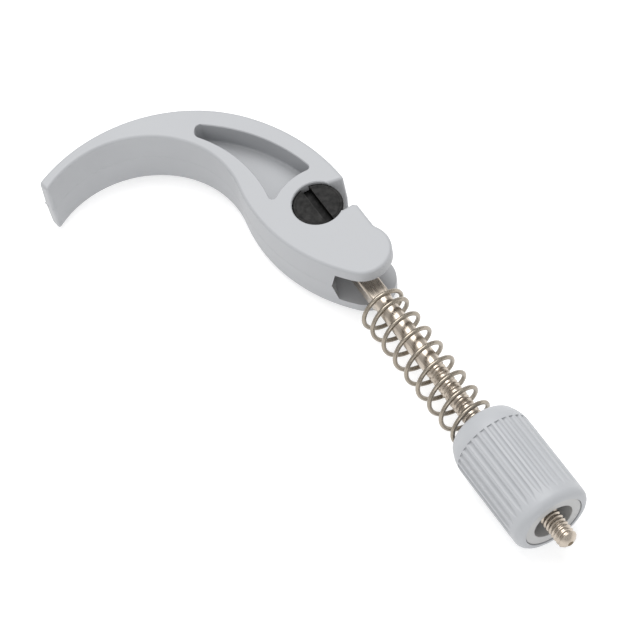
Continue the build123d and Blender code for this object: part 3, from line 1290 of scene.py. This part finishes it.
@dataclass
class Nut:
    """The adjusting nut: fluted grip, core with a counterbore, and threaded insert."""

    bore_r: float = 3.575
    face_r: float = 8.7
    edge: POINT = (1.2, 10.4)  # the first corner: distance from the face, and radius
    shoulder_dx: float = 5.5
    rim: float = 2.4
    mouth_round: float = 0.3
    face_round: float = 0.7
    edge_round: float = 0.9
    shoulder_round: float = 2.0
    seat_round: float = 0.15
    sink_round: float = 0.25
    floor_round: float = 0.2
    grip_steps: int = 180
    core_steps: int = 128
    core_r: float = 9.5
    core_gap: float = 0.06
    core_dx: float = 6.6
    core_back: float = 0.3
    counterbore: POINT = (6.4, 6.0)
    flutes: int = 30
    flute_r: float = 1.05
    flute_depth: float = 0.55
    flute_dx: tuple[float, float, float] = (7.1, 30.0, 34.6)  # start, end of full depth, end
    flute_phase_deg: float = 10.3
    flute_steps: int = 20
    crest_round: float = 0.24
    crest_steps: int = 3
    fade: float = 0.86  # share of a flute's radius that is left halfway along the fade
    skim: float = 0.02
    insert_r: float = 4.85
    insert_bore: float = 3.13
    insert_groove: float = 0.6
    groove_shares: tuple[float, ...] = (0.42, 0.46, 0.54, 0.58)  # along the insert
    groove_round: float = 0.1
    insert_break: float = 0.3

    def __post_init__(self) -> None:
        """Reads the nut's ends and radius from the frame."""
        low, high = span("nut_grip_sleeve")
        self.start, self.end = low.x, high.x
        self.radius = (high.z - low.z) / 2

    def grip(self, plastic: bpy.types.Material) -> None:
        """Builds the fluted grip.

        Args:
            plastic: the piece's finish.
        """
        edge_dx, edge_r = self.edge
        seat = self.start + self.core_dx
        piece = solid("nut_grip", lathe([
            Corner(self.start, self.bore_r, self.mouth_round),
            Corner(self.start, self.face_r, self.face_round),
            Corner(self.start + edge_dx, edge_r, self.edge_round),
            Corner(self.start + self.shoulder_dx, self.radius, self.shoulder_round),
            Corner(self.end, self.radius, self.rim),
            Corner(self.end, self.core_r, self.seat_round),
            Corner(seat, self.core_r),
            Corner(seat, self.bore_r),
        ], self.grip_steps))
        combine(piece, self.flute_tools(), Join.CUT)
        soften(piece, self.crest_round, self.crest_steps)
        paint(piece, plastic)
        set_down(piece, "nut_grip_sleeve", Body.NUT)

    def flute_tools(self) -> bpy.types.Object:
        """Makes the cutters of all the flutes: round bars that taper to nothing at the rim.

        Returns:
            All the cutters, as one object.
        """
        start, full, end = (self.start + dx for dx in self.flute_dx)
        out = self.radius - self.flute_depth + self.flute_r
        bm = bmesh.new()
        one = lathe([
            Corner(start, 0), Corner(start, self.flute_r), Corner(full, self.flute_r),
            Corner((full + end) / 2, self.flute_r * self.fade),
            Corner(end, self.flute_r - self.flute_depth - self.skim), Corner(end, 0),
        ], self.flute_steps)
        bmesh.ops.translate(one, verts=one.verts[:], vec=(0, out, 0))
        mesh = bpy.data.meshes.new("flute")
        one.to_mesh(mesh)
        one.free()
        for index in range(self.flutes):
            known = len(bm.verts)
            bm.from_mesh(mesh)
            bm.verts.ensure_lookup_table()
            turn = math.radians(self.flute_phase_deg + index * 360 / self.flutes)
            bmesh.ops.rotate(
                bm, verts=bm.verts[known:], cent=(0, 0, 0), matrix=Matrix.Rotation(turn, 3, "X")
            )
        bpy.data.meshes.remove(mesh)
        return solid("flute_tools", bm)

    def core(self, plastic: bpy.types.Material) -> None:
        """Builds the core, a hair smaller than its seat so that a fine line shows round it.

        Args:
            plastic: the piece's finish.
        """
        radius = self.core_r - self.core_gap
        bore_r, bore_depth = self.counterbore
        low, high = span("nut_thread_insert")
        face, seat = self.end - self.core_back, self.start + self.core_dx
        piece = solid("nut_core", lathe([
            Corner(seat, self.bore_r),
            Corner(seat, radius),
            Corner(face, radius, self.mouth_round),
            Corner(face, bore_r, self.sink_round),
            Corner(face - bore_depth, bore_r, self.mouth_round),
            Corner(face - bore_depth, self.bore_r, self.floor_round),
            Corner(high.x, self.bore_r),
            Corner(high.x, self.insert_r),
            Corner(low.x, self.insert_r),
            Corner(low.x, self.bore_r),
        ], self.core_steps))
        paint(piece, plastic)
        set_down(piece, "nut_core_bush", Body.NUT)

    def insert(self, brass: bpy.types.Material) -> None:
        """Builds the threaded insert, with grooves that hold it in the core.

        Args:
            brass: the piece's finish.
        """
        low, high = span("nut_thread_insert")
        length, broken = high.x - low.x, self.insert_break
        waist = self.insert_r - self.insert_groove
        body = zip(self.groove_shares, (self.insert_r, waist, waist, self.insert_r), strict=True)
        piece = solid("nut_insert", lathe([
            Corner(low.x, self.insert_bore, broken), Corner(low.x, self.insert_r, broken),
            *(Corner(low.x + length * share, r, self.groove_round) for share, r in body),
            Corner(high.x, self.insert_r, broken), Corner(high.x, self.insert_bore, broken),
        ]))
        paint(piece, brass)
        set_down(piece, "nut_thread_insert", Body.NUT)


# ---- studio


@dataclass(frozen=True)
class Lamp:
    """A soft square light: its place and size in metres, and its power in watts."""

    name: str
    place: tuple[float, float, float]
    size: float
    watts: float

    def hang(self) -> None:
        """Hangs the light so that it faces the part."""
        data = bpy.data.lights.new(self.name, "AREA")
        data.shape = "SQUARE"
        data.size = self.size
        data.energy = self.watts
        lamp = bpy.data.objects.new(self.name, data)
        bpy.context.scene.collection.objects.link(lamp)
        lamp.location = self.place
        lamp.rotation_euler = (-Vector(self.place)).to_track_quat("-Z", "Y").to_euler()


@dataclass
class Studio:
    """The floor, the lights and the camera."""

    camera_from_pivot: tuple[float, float, float] = (397.07, -165.73, 605.65)  # mm
    look_at: tuple[float, float, float] = (20.50, -15.04, -16.06)  # mm from the pivot
    roll_deg: float = -11.48
    lens: float = 135.0
    sensor: float = 36.0
    clip: POINT = (0.01, 100.0)
    floor_size: float = 6.0
    floor_drop: float = 0.0003
    floor_grey: float = 0.72
    floor_glow: float = 0.46
    world: float = 0.75
    lamps: tuple[Lamp, ...] = (
        Lamp("key", (-0.35, 0.15, 0.9), 0.7, 7.4),
        Lamp("fill", (0.7, -0.5, 0.7), 0.6, 2.0),
    )

    def floor(self) -> None:
        """Lays a plain pale floor just under the part."""
        bm = bmesh.new()
        bmesh.ops.create_grid(bm, x_segments=1, y_segments=1, size=self.floor_size / 2)
        piece = solid("floor", bm)
        piece.data.transform(Matrix.Translation((0, 0, -self.floor_drop)))
        material = bpy.data.materials.new("floor_paper")
        material.use_nodes = True
        shader = material.node_tree.nodes["Principled BSDF"]
        Wiring(material.node_tree).feed(shader, {
            "Base Color": (self.floor_grey, self.floor_grey, self.floor_grey, 1),
            "Roughness": 0.9,
            "Specular IOR Level": 0.1,
            "Emission Color": (1, 1, 1, 1),
            "Emission Strength": self.floor_glow,
        })
        piece.data.materials.append(material)

    def camera(self) -> None:
        """Sets the camera."""
        data = bpy.data.cameras.new("camera")
        data.lens = self.lens
        data.sensor_width = self.sensor
        data.clip_start, data.clip_end = self.clip
        camera = bpy.data.objects.new("camera", data)
        bpy.context.scene.collection.objects.link(camera)
        place = PIVOT + Vector(self.camera_from_pivot) * MM
        aim = PIVOT + Vector(self.look_at) * MM
        facing = (aim - place).normalized()
        level = facing.cross(Vector((0, 0, 1))).normalized()
        turn = math.radians(self.roll_deg)
        right = level * math.cos(turn) + level.cross(facing) * math.sin(turn)
        axes = Matrix((right, right.cross(facing), -facing)).transposed()
        camera.matrix_world = Matrix.Translation(place) @ axes.to_4x4()
        bpy.context.scene.camera = camera

    def build(self) -> None:
        """Builds the whole studio."""
        self.floor()
        self.camera()
        for lamp in self.lamps:
            lamp.hang()
        world = bpy.data.worlds.new("studio")
        world.use_nodes = True
        sky = world.node_tree.nodes["Background"]
        Wiring(world.node_tree).feed(sky, {"Color": (1, 1, 1, 1), "Strength": self.world})
        bpy.context.scene.world = world
        bpy.context.scene.view_settings.view_transform = "Standard"


def main() -> None:
    """Builds every sub-assembly in order, then the studio."""
    logging.basicConfig(level=logging.INFO, format="%(name)s: %(message)s")
    effects = Effects()
    Lever().build(LEVER_PLASTIC.make(effects))
    Dowel().build(BLACK_OXIDE.make(effects))
    Rod().build(NICKEL_PLATE.make(effects), CUT_END.make(effects))
    Spring().build(SPRING_WIRE.make(effects))
    nut = Nut()
    nut.grip(GRIP_PLASTIC.make(effects))
    nut.core(CORE_PLASTIC.make(effects))
    nut.insert(TURNED_BRASS.make(effects))
    Studio().build()


if __name__ == "__main__":
    main()
